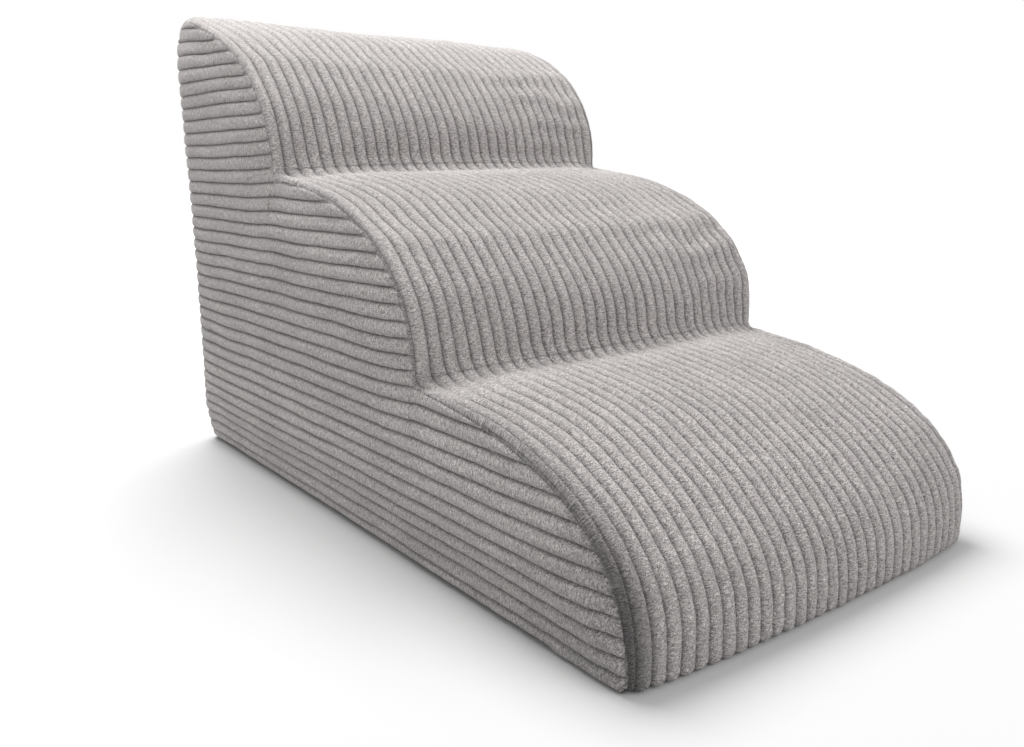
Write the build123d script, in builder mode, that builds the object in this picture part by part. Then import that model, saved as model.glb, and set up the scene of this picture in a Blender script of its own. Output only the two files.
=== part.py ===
from build123d import *
import os

# Three-step foam pet stairs in a zipped corduroy cover.
# Millimetres. X runs across the steps, +Y from the front towards the tall back, +Z up.
# The origin is the middle of the underside, where the stairs stand.

os.makedirs("parts", exist_ok=True)

# Overall size
width = 350.0
depth = 600.0
height = 400.0

# Stair profile, steps counted from the bottom
step_fullness = (0.65, 0.61, 0.57)  # how square each step's nose is, 0.55 is an ellipse
tread_fall = 9.0  # how far a tread's control point drops towards its nose
brow_radius = 18.0  # top edge at the back
fold_radius = 5.0  # inner corner between a riser and the tread below
toe_radius = 8.0  # bottom edge at the front
corner_radius = 16.0  # upright edges at the back

# Cover
cover = 3.0  # corduroy with its pile
gap = 0.3  # between neighbouring soft pieces
hem_lift = 0.9  # corduroy above the floor
base_thick = 2.4  # grip fabric of the underside
thread = 0.6  # sewing thread
seam_relief = 1.5  # foam edge crushed by the seam allowance

# Zipper along the foot of the left side, the back and the right side
zip_inset = 9.0  # chain centre in from the outer wall
zip_corner = 30.0  # bend of the chain round the back corners
zip_level = 5.4  # middle of the chain above the floor
zip_front = 56.0  # tape end, back from the front edge
zip_hem = 3.5  # foot of the wall above the floor where the zipper runs
tape_thick = 0.6
tape_reach = 12.0  # inner tape, from the chain's centre
coil_wide = 2.1  # one side of the chain
coil_thick = 2.6
coil_part = 1.4  # between the two sides of the chain, where the slider's wedge runs
stop_long = 2.6
stop_margin = 2.8  # tape in front of a stop

# Slider and pull tab
slider_long = 13.0
slider_mouth = 9.8
slider_tail = 8.6
slider_play = 0.35  # round the chain
plate_thick = 1.1
flange_thick = 1.0
wedge_thick = 0.9
wedge_long = 3.0
slider_clear = 0.9  # between the parked slider and the stops
post_radius = 0.8
post_spacing = 5.6
bridge_drop = 1.5  # room under the slider for the tab
bridge_thick = 0.7
tab_thick = 1.1
tab_long = 27.0
tab_wide = 6.0
eye_radius = 2.6
eye_play = 0.4

# Foam rebate for the zipper, and the inside label
rebate_play = 1.0  # foam clear of the inner tape's edge
rebate_top = 9.6
rim_wide = 3.0  # base fabric turned up to meet the inner tape
rim_reach = 7.0  # that rim, from the chain's centre
label_long = 60.0
label_wide = 32.0
label_thick = 0.25
foam_lift = 0.6  # foam above the base fabric

half_width = width / 2
half_depth = depth / 2
inside = cover + gap
step_count = len(step_fullness)
rise = height / step_count
run = depth / step_count
rebate_wide = zip_inset + tape_reach + rebate_play
rim_inset = zip_inset + rim_reach
foam_floor = base_thick + foam_lift
toe_end = -half_depth + toe_radius
base_front = toe_end + thread + gap


def stair_outline(inset):
    """Side view of the stairs, moved in by inset from the finished surface."""
    rear = half_depth - inset
    with BuildSketch(Plane.YZ) as outline:
        with BuildLine():
            back = Line((rear, hem_lift + inset), (rear, height - brow_radius))
            bend = JernArc(back @ 1, (0, 1), brow_radius - inset, 90)
            for step in reversed(range(step_count)):
                start = bend @ 1
                foot_y = -half_depth + step * run + inset
                foot_z = step * rise + (fold_radius if step else toe_radius + hem_lift)
                long = (start.X - foot_y) * step_fullness[step]
                tall = (start.Y - foot_z) * step_fullness[step]
                nose = Bezier(
                    start,
                    (start.X - long, start.Y - tread_fall),
                    (foot_y, foot_z + tall),
                    (foot_y, foot_z),
                )
                if step:
                    bend = JernArc(nose @ 1, (0, -1), fold_radius + inset, -90)
                else:
                    bend = JernArc(nose @ 1, (0, -1), toe_radius - inset, 90)
            Line(bend @ 1, back @ 0)
        make_face()
    return outline.sketch


def plan(inset, radius, front, level=0.0):
    """Plan of the stairs behind front, moved in by inset, with rounded back corners."""
    side = half_width - inset
    rear = half_depth - inset
    with BuildSketch(Plane.XY.offset(level)) as outline:
        with BuildLine():
            left = Line((-side, front), (-side, rear - radius))
            left_bend = JernArc(left @ 1, (0, 1), radius, -90)
            back = Line(left_bend @ 1, (side - radius, rear))
            right_bend = JernArc(back @ 1, (1, 0), radius, -90)
            right = Line(right_bend @ 1, (side, front))
            Line(right @ 1, left @ 0)
        make_face()
    return outline.sketch


def chain_strip(outer_inset, inner_inset, front, level):
    """Strip that follows the zipper's bends, between two insets."""
    outer_bend = zip_corner + zip_inset - outer_inset
    inner_bend = zip_corner + zip_inset - inner_inset
    outer = plan(outer_inset, outer_bend, front, level)
    return outer - plan(inner_inset, inner_bend, front, level)


def write(piece, name):
    piece.label = name
    export_step(piece, f"parts/{name}.step")


# The foam, in two widths so that its profile edges clear the seams
foam_outline = stair_outline(inside)
edge_outline = stair_outline(inside + seam_relief)
foam_plan = plan(inside, corner_radius - inside, -half_depth)
tape_front = -half_depth + zip_front
rebate_front = tape_front - gap
top_seam_z = (
    height - brow_radius
    + ((brow_radius - cover) ** 2 - (brow_radius - inside) ** 2) ** 0.5
)

with BuildPart() as foam_core:
    extrude(foam_outline, amount=half_width - inside - seam_relief, both=True)
    extrude(edge_outline, amount=half_width - inside, both=True)
    foot_long = half_depth - inside - toe_end - gap
    foot_tall = rebate_top - foam_floor
    with BuildSketch(Plane.XY.offset(foam_floor)):
        with Locations((0, toe_end + gap + foot_long / 2)):
            Rectangle(width - 2 * inside, foot_long)
    extrude(amount=foot_tall)
    extrude(foam_plan, amount=height, mode=Mode.INTERSECT)
    rebate = plan(0, corner_radius, rebate_front) - plan(
        rebate_wide, zip_corner, rebate_front
    )
    extrude(rebate, amount=rebate_top, mode=Mode.SUBTRACT)
    groove_size = thread + 2 * gap
    with BuildSketch(Plane.YZ):
        with Locations((half_depth - inside, top_seam_z)):
            Rectangle(2 * groove_size, 2 * groove_size)
    extrude(amount=half_width, both=True, mode=Mode.SUBTRACT)
write(foam_core.part, "foam_core")

# Corduroy strip over the steps, down the front and under its bottom edge
outer_outline = stair_outline(0)
lining_outline = stair_outline(cover)

with BuildPart() as step_panel:
    extrude(outer_outline, amount=half_width - inside, both=True)
    extrude(lining_outline, amount=half_width - inside, both=True, mode=Mode.SUBTRACT)
    with BuildSketch(Plane.YZ):
        with Locations(((toe_end + half_depth) / 2, hem_lift)):
            Rectangle(half_depth - toe_end, 2 * cover)
    extrude(amount=half_width, both=True, mode=Mode.SUBTRACT)
    extrude(foam_plan, amount=height, mode=Mode.INTERSECT)
write(step_panel.part, "step_panel")

# Corduroy round the two sides and the back, in one piece
with BuildPart() as wrap_panel:
    extrude(outer_outline, amount=half_width, both=True)
    extrude(
        plan(0, corner_radius, -half_depth), amount=height, mode=Mode.INTERSECT
    )
    hollow = plan(cover, corner_radius - cover, -half_depth)
    extrude(hollow, amount=height, mode=Mode.SUBTRACT)
    zip_mouth = plan(0, corner_radius, tape_front)
    extrude(zip_mouth, amount=zip_hem, mode=Mode.SUBTRACT)
write(wrap_panel.part, "wrap_panel")

# Grip fabric underneath, turned up along the zipper
with BuildPart() as base_panel:
    base_inset = rim_inset
    base_side = half_width - inside
    extrude(
        plan(base_inset, zip_corner + zip_inset - base_inset, base_front),
        amount=base_thick,
    )
    with BuildSketch(Plane.XY):
        with Locations((0, (base_front + tape_front) / 2)):
            Rectangle(2 * base_side, tape_front - base_front)
    extrude(amount=base_thick)
    rim = chain_strip(rim_inset, rim_inset + rim_wide, tape_front, base_thick)
    extrude(rim, amount=zip_level - tape_thick / 2 - base_thick)
write(base_panel.part, "base_panel")

# Sewing threads of the cover's seams
seam_ring = stair_outline(inside) - stair_outline(inside + thread)

for seam_name, seam_side in (("left_seam_thread", -1), ("right_seam_thread", 1)):
    with BuildPart() as seam_thread:
        seam_x = seam_side * (half_width - inside)
        extrude(seam_ring.moved(Pos(X=seam_x)), amount=-seam_side * thread)
        with BuildSketch(Plane.YZ):
            with Locations(((toe_end + half_depth) / 2, hem_lift + inside)):
                Rectangle(half_depth - toe_end, 2 * rebate_top)
            with Locations((half_depth, height / 2)):
                Rectangle(2 * corner_radius, height)
        extrude(amount=half_width, both=True, mode=Mode.SUBTRACT)
    write(seam_thread.part, seam_name)

with BuildPart() as top_seam_thread:
    with BuildSketch(Plane.YZ):
        with Locations((half_depth - inside - thread / 2, top_seam_z - thread)):
            Rectangle(thread, thread)
    extrude(amount=half_width - inside - corner_radius, both=True)
write(top_seam_thread.part, "top_seam_thread")

with BuildPart() as front_seam_thread:
    with BuildSketch(Plane.YZ):
        with Locations(((toe_end + base_front) / 2, hem_lift + thread)):
            Rectangle(thread, thread)
    extrude(amount=half_width - inside - seam_relief, both=True)
write(front_seam_thread.part, "front_seam_thread")

# Zipper tapes, the two halves of the chain and their stitching
tape_floor = zip_level - tape_thick / 2
coil_floor = zip_level - coil_thick / 2
coil_outer = zip_inset - coil_part / 2 - coil_wide
coil_inner = zip_inset + coil_part / 2 + coil_wide
stop_front = tape_front + stop_margin
coil_front = stop_front + stop_long

with BuildPart() as outer_zip_tape:
    wall_side = plan(inside, corner_radius - inside, tape_front, tape_floor)
    coil_bend = zip_corner + zip_inset - coil_outer
    chain_side = plan(coil_outer, coil_bend, tape_front, tape_floor)
    extrude(wall_side - chain_side, amount=tape_thick)
write(outer_zip_tape.part, "outer_zip_tape")

with BuildPart() as inner_zip_tape:
    strip = chain_strip(coil_inner, zip_inset + tape_reach, tape_front, tape_floor)
    extrude(strip, amount=tape_thick)
write(inner_zip_tape.part, "inner_zip_tape")

with BuildPart() as outer_zip_coil:
    strip = chain_strip(coil_outer, coil_outer + coil_wide, coil_front, coil_floor)
    extrude(strip, amount=coil_thick)
write(outer_zip_coil.part, "outer_zip_coil")

with BuildPart() as inner_zip_coil:
    strip = chain_strip(coil_inner - coil_wide, coil_inner, coil_front, coil_floor)
    extrude(strip, amount=coil_thick)
write(inner_zip_coil.part, "inner_zip_coil")

with BuildPart() as outer_zip_stitching:
    wall_side = plan(inside, corner_radius - inside, tape_front, tape_floor)
    thread_inset = inside + thread
    thread_side = plan(
        thread_inset, corner_radius - thread_inset, tape_front, tape_floor
    )
    extrude(wall_side - thread_side, amount=-gap)
write(outer_zip_stitching.part, "outer_zip_stitching")

with BuildPart() as inner_zip_stitching:
    stitch_inset = rim_inset + rim_wide / 2
    tape_top = tape_floor + tape_thick
    strip = chain_strip(stitch_inset, stitch_inset + thread, tape_front, tape_top)
    extrude(strip, amount=gap)
write(inner_zip_stitching.part, "inner_zip_stitching")

# Stops: one on each half at the closed end, one across both at the other end
chain_x = half_width - zip_inset
stop_offset = (coil_part + coil_wide) / 2
stop_y = stop_front + stop_long / 2

with BuildPart() as top_stops:
    with BuildSketch(Plane.XY.offset(coil_floor)):
        with Locations(
            (-chain_x - stop_offset, stop_y), (-chain_x + stop_offset, stop_y)
        ):
            RectangleRounded(coil_wide, stop_long, coil_wide / 4)
    extrude(amount=coil_thick)
write(top_stops.part, "top_stops")

with BuildPart() as bottom_stop:
    with BuildSketch(Plane.XY.offset(coil_floor)):
        with Locations((chain_x, stop_y)):
            RectangleRounded(
                coil_part + 2 * coil_wide, stop_long, coil_wide / 4
            )
    extrude(amount=coil_thick)
write(bottom_stop.part, "bottom_stop")

# Slider, parked against the stops at the front of the left side
slider_y = coil_front + slider_clear + slider_long / 2
slider_place = Plane(origin=(-chain_x, slider_y, zip_level))
cavity = coil_thick / 2 + slider_play
bridge_floor = cavity + plate_thick + bridge_drop + bridge_thick


def slider_plan(level, slim=0.0):
    """Slider seen from above: wide at the mouth, narrow at the tail."""
    mouth = slider_mouth / 2 - slim
    tail = slider_tail / 2 - slim
    ends = slider_long / 2
    with BuildSketch(slider_place.offset(level)) as outline:
        Polygon((-mouth, -ends), (mouth, -ends), (tail, ends), (-tail, ends), align=None)
        if not slim:
            fillet(outline.vertices(), flange_thick)
    return outline.sketch


with BuildPart() as slider_body:
    outer_half = cavity + plate_thick
    extrude(slider_plan(-outer_half), amount=2 * outer_half)
    extrude(slider_plan(-cavity, flange_thick), amount=2 * cavity, mode=Mode.SUBTRACT)
    slot = tape_thick / 2 + slider_play
    with BuildSketch(slider_place.offset(-slot)):
        Rectangle(2 * slider_mouth, slider_long)
    extrude(amount=2 * slot, mode=Mode.SUBTRACT)
    with BuildSketch(slider_place.offset(-cavity)):
        with Locations((0, (wedge_long - slider_long) / 2 + flange_thick)):
            Rectangle(wedge_thick, wedge_long)
    extrude(amount=2 * cavity)
    with BuildSketch(slider_place.offset(-bridge_floor)):
        SlotCenterToCenter(post_spacing, 2 * post_radius + bridge_thick, rotation=90)
    extrude(amount=bridge_thick)
    with BuildSketch(slider_place.offset(-bridge_floor)):
        with Locations((0, -post_spacing / 2), (0, post_spacing / 2)):
            Circle(post_radius)
    extrude(amount=bridge_floor - cavity)
write(slider_body.part, "slider_body")

# Pull tab, looped round the slider's rear post and tucked back along the chain
with BuildPart() as pull_tab:
    tab_level = -cavity - plate_thick - (bridge_drop + tab_thick) / 2
    grip_long = tab_long - 3 * eye_radius
    neck_long = tab_long - grip_long
    with BuildSketch(slider_place.offset(tab_level)):
        with Locations((0, post_spacing / 2)):
            Circle(eye_radius)
        with Locations((0, (post_spacing + neck_long) / 2)):
            Rectangle(eye_radius * 1.3, neck_long)
        with Locations((0, post_spacing / 2 + neck_long + grip_long / 2)):
            RectangleRounded(tab_wide, grip_long, tab_wide / 3)
        with Locations((0, post_spacing / 2)):
            Circle(post_radius + eye_play, mode=Mode.SUBTRACT)
        with Locations((0, post_spacing / 2 + tab_long - tab_wide)):
            SlotOverall(tab_wide, tab_wide / 3, rotation=90, mode=Mode.SUBTRACT)
    extrude(amount=tab_thick)
write(pull_tab.part, "pull_tab")

# Blank care label, laid inside on the base fabric behind the zipper
with BuildPart() as care_label:
    label_x = half_width - rebate_wide - label_long
    label_y = half_depth - rebate_wide - label_wide
    with BuildSketch(Plane.XY.offset(base_thick)):
        with Locations((label_x, label_y)):
            Rectangle(label_long, label_wide)
    extrude(amount=label_thick)
write(care_label.part, "care_label")
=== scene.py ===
import bpy
import math
import numpy as np
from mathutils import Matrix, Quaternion, Vector
from mathutils.kdtree import KDTree


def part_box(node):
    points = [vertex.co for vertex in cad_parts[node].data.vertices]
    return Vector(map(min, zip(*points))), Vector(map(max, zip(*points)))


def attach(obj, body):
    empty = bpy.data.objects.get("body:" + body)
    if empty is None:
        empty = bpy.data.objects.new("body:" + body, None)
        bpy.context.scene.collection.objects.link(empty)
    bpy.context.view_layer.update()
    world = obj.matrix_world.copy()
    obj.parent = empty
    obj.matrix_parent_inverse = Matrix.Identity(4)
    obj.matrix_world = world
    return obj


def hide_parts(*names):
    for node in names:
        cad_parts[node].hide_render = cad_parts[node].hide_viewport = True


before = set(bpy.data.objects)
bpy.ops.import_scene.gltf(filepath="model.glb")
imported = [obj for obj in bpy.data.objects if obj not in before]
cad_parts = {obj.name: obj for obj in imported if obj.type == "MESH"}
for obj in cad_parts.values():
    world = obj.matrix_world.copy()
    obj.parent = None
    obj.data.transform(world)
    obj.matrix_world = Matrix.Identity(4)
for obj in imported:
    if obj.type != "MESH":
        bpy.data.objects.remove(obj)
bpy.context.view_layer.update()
scene = bpy.context.scene

# Side profile of the stairs, in metres, steps counted from the bottom
stairs = {
    "fullness": (0.65, 0.61, 0.57),  # how square each nose is
    "treadFall": 0.009,
    "browRadius": 0.018,  # top edge at the back
    "foldRadius": 0.005,  # where a riser meets a tread
    "toeRadius": 0.005,  # bottom edge at the front
    "cornerRadius": 0.016,  # upright edges at the back
    "hemLift": 0.0009,
    "seamInset": 0.0033,
}
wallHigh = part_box("wrap_panel")[1]
halfWidth, halfDepth, topHeight = (float(c) for c in wallHigh)
stepCount = len(stairs["fullness"])
stepRise = topHeight / stepCount
stepRun = 2 * halfDepth / stepCount


def arcPoints(centre, radius, start, end, count=24):
    turn = np.radians(np.linspace(start, end, count))
    return np.column_stack([centre[0] + radius * np.cos(turn), centre[1] + radius * np.sin(turn)])


def bezierPoints(a, b, c, d, count=240):
    t = np.linspace(0, 1, count)[:, None]
    return (1 - t) ** 3 * a + 3 * (1 - t) ** 2 * t * b + 3 * (1 - t) * t * t * c + t ** 3 * d


def stairLine(toe=stairs["toeRadius"]):
    # (y, z) from under the toe up the steps to the seam behind the top edge
    s = stairs
    fold, brow = s["foldRadius"], s["browRadius"]
    parts = [arcPoints((-halfDepth + toe, s["hemLift"] + toe), toe, 270, 180)]
    for step, full in enumerate(s["fullness"]):
        foot = np.array([-halfDepth + step * stepRun, step * stepRise + (fold if step else toe + s["hemLift"])])
        top = np.array([halfDepth - brow if step == stepCount - 1 else -halfDepth + (step + 1) * stepRun - fold,
                        (step + 1) * stepRise])
        long, tall = (top - foot) * full
        parts.append(bezierPoints(foot, foot + (0, tall), top - (long, s["treadFall"]), top))
        if step < stepCount - 1:
            parts.append(arcPoints(top + (0, fold), fold, 270, 360))
    last = math.degrees(math.acos((brow - s["seamInset"]) / brow))
    parts.append(arcPoints((halfDepth - brow, topHeight - brow), brow, 90, last))
    line = np.vstack(parts)
    fresh = np.r_[True, np.linalg.norm(np.diff(line, axis=0), axis=1) > 1e-6]
    return line[fresh]


def distances(line):
    # how far along a line each of its points is
    return np.r_[0, np.cumsum(np.linalg.norm(np.diff(line, axis=0), axis=1))]


def evenly(line, gap):
    # the same line with points a gap apart, and how far along each one is
    along = distances(line)
    at = np.linspace(0, along[-1], int(along[-1] / gap) + 1)
    return np.column_stack([np.interp(at, along, line[:, k]) for k in range(line.shape[1])]), at


def unit(ways):
    return ways / np.maximum(np.linalg.norm(ways, axis=-1, keepdims=True), 1e-9)


def inwardFrom(tangent):
    return np.column_stack([tangent[:, 1], -tangent[:, 0]])


def circleAt(radius, off):
    # how high a circle stands at a distance off from its middle
    return np.sqrt(np.maximum(radius ** 2 - off ** 2, 0))


def packed(*parts):
    # grids of numbers side by side, as one row for each point
    return np.stack(parts, -1).reshape(-1, len(parts))


stairPoints, stairAlong = evenly(stairLine(), 0.0004)
stairTangent = unit(np.gradient(stairPoints, stairAlong, axis=0))
stairInward = inwardFrom(stairTangent)
stairTurn = np.abs(np.gradient(np.unwrap(np.arctan2(stairTangent[:, 1], stairTangent[:, 0])), stairAlong))
stairTurn = np.convolve(stairTurn, np.ones(9) / 9, "same")
stripLength = stairAlong[-1]


def atAlong(at, values):
    return np.interp(at, stairAlong, values)


foldPlaces = [float(stairAlong[np.argmin(np.hypot(stairPoints[:, 0] - (step * stepRun - halfDepth),
                                                  stairPoints[:, 1] - step * stepRise))])
              for step in range(1, stepCount)]


def smooth(x):
    x = np.clip(x, 0, 1)
    return x * x * (3 - 2 * x)


def patches(u, v, seed):
    # smooth seeded noise from -1 to 1, one cell to the unit
    table = np.random.default_rng(seed).uniform(-1, 1, (128, 128))
    iu, iv = np.floor(u).astype(int), np.floor(v).astype(int)
    fu, fv = smooth(u - iu), smooth(v - iv)
    a, b = table[iu % 128, iv % 128], table[(iu + 1) % 128, iv % 128]
    c, d = table[iu % 128, (iv + 1) % 128], table[(iu + 1) % 128, (iv + 1) % 128]
    return (a * (1 - fu) + b * fu) * (1 - fv) + (c * (1 - fu) + d * fu) * fv


# Corduroy, shared by both panels of the cover
corduroy = {
    "pitch": 0.0108,  # from one wale to the next
    "relief": 0.0024,  # depth of the grooves
    "columns": (-1.0, -0.9, -0.72, -0.4, 0.0, 0.4, 0.72, 0.9),  # across one wale
    "wander": 0.0007,  # how far a wale strays sideways
    "lumps": 0.16,
    "fuzz": 0.00022,
    "sag": 0.0012,  # slow unevenness of the foam and cover
}

# Cloth simulation of the stuffed cover on a coarse copy of the foam, held along its seams
settling = {
    "voxel": 0.011, "frames": 18, "pressure": 3.0, "most": 0.003,
    "seamHeld": 0.013, "floorHeld": 0.012, "cell": 0.0125, "soften": 0.004, "neighbours": 4,
}


def finishedMesh(shape):
    return bpy.data.meshes.new_from_object(shape.evaluated_get(bpy.context.evaluated_depsgraph_get()))


def readPoints(mesh):
    flat = np.empty(len(mesh.vertices) * 3)
    mesh.vertices.foreach_get("co", flat)
    return flat.reshape(-1, 3)


def settleCover():
    shape = bpy.data.objects.new("settlingShape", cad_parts["foam_core"].data.copy())
    scene.collection.objects.link(shape)
    remesh = shape.modifiers.new("even", "REMESH")
    remesh.mode = "VOXEL"
    remesh.voxel_size = settling["voxel"]
    even = finishedMesh(shape)
    shape.modifiers.clear()
    shape.data = even
    rest = readPoints(even)
    gap = np.array([np.hypot(stairPoints[::8, 0] - y, stairPoints[::8, 1] - z).min() for _, y, z in rest])
    atSeam = (gap < settling["seamHeld"]) & (halfWidth - np.abs(rest[:, 0]) < settling["seamHeld"])
    held = atSeam | (rest[:, 2] < settling["floorHeld"])
    group = shape.vertex_groups.new(name="sewn")
    group.add([int(k) for k in np.flatnonzero(held)], 1.0, "REPLACE")
    cloth = shape.modifiers.new("settle", "CLOTH")
    cloth.settings.vertex_group_mass = "sewn"
    cloth.settings.use_pressure = True
    cloth.settings.uniform_pressure_force = settling["pressure"]
    cloth.settings.effector_weights.gravity = 0
    cloth.settings.quality = 4
    cloth.point_cache.frame_end = settling["frames"]
    for step in range(1, settling["frames"] + 1):
        scene.frame_set(step)
    moved = readPoints(finishedMesh(shape)) - rest
    size = np.linalg.norm(moved, axis=1)
    print("cover settled:", len(rest), "points, most", round(float(size.max()) * 1000, 1), "mm")
    moved *= (np.minimum(size, settling["most"]) / np.maximum(size, 1e-9))[:, None]
    scene.frame_set(1)
    bpy.data.objects.remove(shape)
    tree = KDTree(len(rest))
    for k, place in enumerate(rest):
        tree.insert(place, k)
    tree.balance()
    cell = settling["cell"]
    counts = [int(math.ceil(2 * reach / cell)) + 5 for reach in (halfWidth, halfDepth, topHeight / 2)]
    low = np.array([-halfWidth, -halfDepth, 0]) - 2 * cell
    lattice = np.zeros((*counts, 3))
    for at in np.ndindex(*counts):
        found = tree.find_n(low + np.array(at) * cell, settling["neighbours"])
        weights = np.array([1 / (far + settling["soften"]) for _, _, far in found])
        lattice[at] = weights @ moved[[k for _, k, _ in found]] / weights.sum()
    return low, lattice

def coverSwell(points):
    # the simulated swelling at any place near the surface
    if swelling is None:
        return 0.0
    low, lattice = swelling
    at = np.clip((points - low) / settling["cell"], 0, np.array(lattice.shape[:3]) - 1.001)
    base, part = at.astype(int), at - at.astype(int)
    total = np.zeros_like(points)
    for corner in np.ndindex(2, 2, 2):
        weight = np.prod(np.where(corner, part, 1 - part), axis=1)
        total += weight[:, None] * lattice[tuple((base + corner).T)]
    return total * smooth(points[:, 2] / 0.03)[:, None]


swelling = settleCover()

# How the stuffed shape stands proud of the cut sizes
puff = {
    "toe": 0.0095,  # front edge, forward at its middle
    "toeReach": 0.13,
    "side": 0.0040,
    "step": ((0.0046, -0.001), (0.0008, 0.0016), (0.0004, 0.001)),  # each nose from the bottom, left and right
    "farSide": ((0.0, 0.02, 0.05, 0.08, 0.12, 0.14, 0.18, 0.24, 0.27, 0.34, 0.4),
                (0.001, 0.004, 0.0085, 0.007, 0.001, 0.002, 0.005, 0.003, 0.0, 0.001, 0.002)),  # right side by height
    "rearSides": 0.0024,  # both sides, wider towards the back
    "rearCorner": 0.0064,  # top left corner at the back, raised
    "rearReach": 0.085,
    "rearSag": 0.0018,  # the rest of the top edge, a little low
    "rounding": 0.020,  # and rounded off like a ball
}


def stuffed(points):
    # slow swelling that both panels share, so their seams stay together
    x, y, z = points.T
    out = points.copy()
    middle = np.clip(1 - np.abs(x / halfWidth) ** 3, 0, 1) ** 0.8
    out[:, 1] -= puff["toe"] * middle * smooth(1 - z / puff["toeReach"]) * smooth((-y - 0.24) / 0.03)
    out[:, 0] += smooth(x / halfWidth) * np.interp(z, *puff["farSide"])
    atSides = np.sign(x) * smooth(np.abs(x) / halfWidth * 2 - 1)
    out[:, 0] += atSides * puff["rearSides"] * smooth((y + 0.05) / 0.3) * smooth(z / 0.035)
    # the two top corners at the back, rounded and then raised
    ball = puff["rounding"]
    dx = np.maximum(np.abs(x) - halfWidth + ball, 0)
    dy = np.maximum(y - halfDepth + ball, 0)
    dz = np.maximum(z - topHeight + ball, 0)
    far = np.sqrt(dx ** 2 + dy ** 2 + dz ** 2)
    cut = smooth((y - halfDepth + 0.062) / 0.055) * np.maximum(1 - ball / np.maximum(far, 1e-6), 0)
    cut = cut * (dx > 0) * (dz > 0)
    out[:, 0] -= np.sign(x) * dx * cut
    out[:, 1] -= dy * cut
    out[:, 2] -= dz * cut
    aside = np.maximum(np.abs(np.abs(x) - halfWidth + 0.014) - 0.004, 0)
    away = np.hypot(aside, halfDepth - 0.012 - y)
    nearTop = smooth((z - topHeight + 0.07) / 0.06)
    lift = puff["rearCorner"] * smooth(1 - away / puff["rearReach"]) * nearTop
    out[:, 2] += lift * (0.55 - 0.45 * np.sign(x))
    out[:, 2] -= puff["rearSag"] * smooth((x + 0.1) / 0.1) * smooth((y - halfDepth + 0.12) / 0.08) * nearTop
    return out + coverSwell(points)


def waleHeight(across, roundness):
    # 0 in a groove to 1 on top of a wale, and the place across it from -1 to 1
    place = (across / corduroy["pitch"]) % 1 * 2 - 1
    return (1 - np.abs(place) ** roundness) ** 0.75, place


def waleColumns(low, high):
    pitch = corduroy["pitch"]
    first, last = math.floor(low / pitch), math.ceil(high / pitch)
    steps = np.array(corduroy["columns"]) / 2 + 0.5
    return np.concatenate([(n + steps) * pitch for n in range(first, last)] + [[last * pitch]])


def wander(along, across, seed):
    # how far a wale has strayed sideways
    slow, quick = patches(along / 0.05, across / 0.04, seed), patches(along / 0.017, across / 0.011, seed + 5)
    return corduroy["wander"] * (slow + 0.4 * quick)


def clothSurface(along, across, roundness, seed):
    # relief of the wales and slow unevenness, as a distance out from the foam
    height, place = waleHeight(across, roundness)
    lumps = 1 + corduroy["lumps"] * patches(along / 0.007, across / corduroy["pitch"], seed + 1)
    tufts = 0.05 * patches(along / 0.0034, across / 0.003, seed + 2)
    return height, place, corduroy["relief"] * (height * lumps + tufts * height)


def weld(points, faces):
    # joins points that fell together and drops faces with no width
    key = np.round(points * 2e6).astype(np.int64)
    _, first, back = np.unique(key, axis=0, return_index=True, return_inverse=True)
    faces = back.reshape(-1)[faces]
    kept = []
    same = faces == np.roll(faces, -1, axis=1)
    crossed = (faces[:, 0] == faces[:, 2]) | (faces[:, 1] == faces[:, 3])
    kept += faces[~same.any(1) & ~crossed].tolist()
    for face, flags in zip(faces[(same.sum(1) == 1) & ~crossed], same[(same.sum(1) == 1) & ~crossed]):
        kept.append([v for v, drop in zip(face.tolist(), flags.tolist()) if not drop])
    used = np.zeros(len(first), bool)
    for face in kept:
        used[face] = True
    number = np.cumsum(used) - 1
    return first[used], [[int(number[v]) for v in face] for face in kept]


def buildPiece(name, points, faces, material, node=None, layers=None, uv=None):
    mesh = bpy.data.meshes.new(name)
    mesh.from_pydata(points.tolist(), [], faces)
    mesh.update()
    for layerName, values in (layers or {}).items():
        kind, key = ("FLOAT", "value") if values.ndim == 1 else ("FLOAT_VECTOR", "vector")
        mesh.attributes.new(layerName, kind, "POINT").data.foreach_set(key, values.ravel())
    if uv is not None:
        uvLayer = mesh.uv_layers.new(name="OFBake")
        corner = np.empty(len(mesh.loops), int)
        mesh.loops.foreach_get("vertex_index", corner)
        uvLayer.uv.foreach_set("vector", uv(corner, mesh).astype(np.float32).ravel())
    mesh.shade_smooth()
    piece = bpy.data.objects.new(name, mesh)
    scene.collection.objects.link(piece)
    mesh.materials.append(material)
    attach(piece, "root")
    if node:
        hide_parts(node)
    print(name, len(faces), "faces")
    return piece


def gridFaces(rows, cols):
    n = np.arange(rows * cols).reshape(rows, cols)
    return np.stack([n[:-1, :-1], n[:-1, 1:], n[1:, 1:], n[1:, :-1]], -1).reshape(-1, 4)


# Materials
def feed(tree, node, feeds):
    # gives each named input a value or another node's output
    for key, value in feeds.items():
        if isinstance(value, bpy.types.NodeSocket):
            tree.links.new(value, node.inputs[key])
        else:
            node.inputs[key].default_value = value


def addNode(tree, kind, at, feeds=None, **settings):
    node = tree.nodes.new(kind)
    node.location = at
    for key, value in settings.items():
        setattr(node, key, value)
    feed(tree, node, feeds or {})
    return node


def mathNode(tree, operation, *values):
    return addNode(tree, "ShaderNodeMath", (0, -100), dict(enumerate(values)), operation=operation).outputs[0]


def mapRange(tree, value, given=(0, 1), wanted=(0, 1), interpolation="LINEAR"):
    return addNode(tree, "ShaderNodeMapRange", (-300, -100), {
        "Value": value, "From Min": given[0], "From Max": given[1], "To Min": wanted[0], "To Max": wanted[1],
    }, interpolation_type=interpolation).outputs["Result"]


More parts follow.
